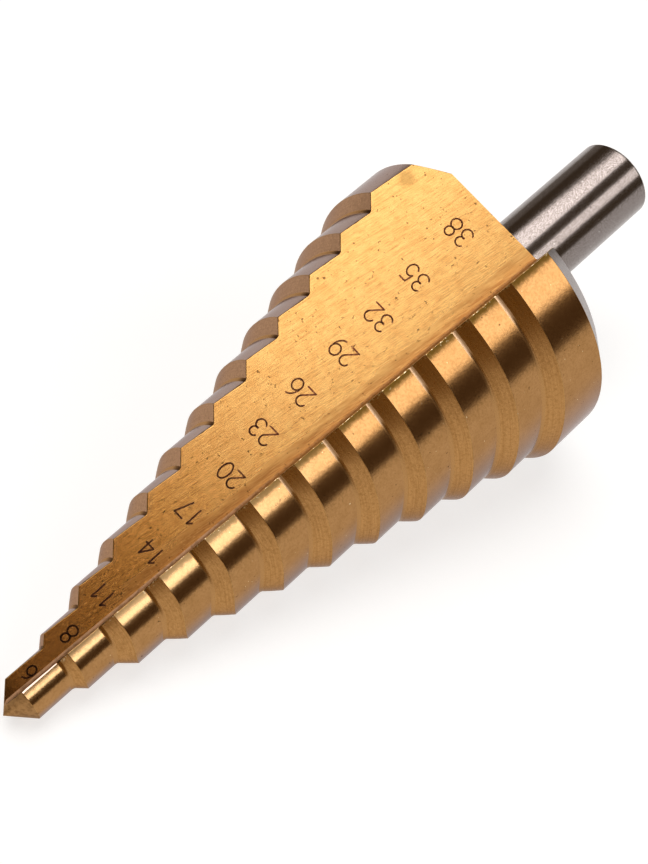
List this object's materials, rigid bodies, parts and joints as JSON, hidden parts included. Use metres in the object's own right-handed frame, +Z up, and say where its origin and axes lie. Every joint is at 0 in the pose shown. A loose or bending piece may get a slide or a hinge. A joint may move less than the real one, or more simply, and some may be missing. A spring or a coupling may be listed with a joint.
{
  "type": "step drill bit",
  "caption": "Cone-shaped step drill that bores and widens holes in sheet, with stepped lands, straight vee flutes and a plain round shank.",
  "frame": {"origin": "on the surface the drill lies on, under the middle of its bounding box", "axes": "+X along the drill from its point to its shank, as seen from above; +Z up from the surface that the drill lies on, resting on one flute with its point low; +Y to the side"},
  "size_m": [0.0956, 0.0374, 0.033],
  "materials": {
    "coated_steel": "golden coated cone, plain ground steel shank"
  },
  "bodies": {
    "root": {"step_drill": "coated_steel"}
  },
  "joints": []
}
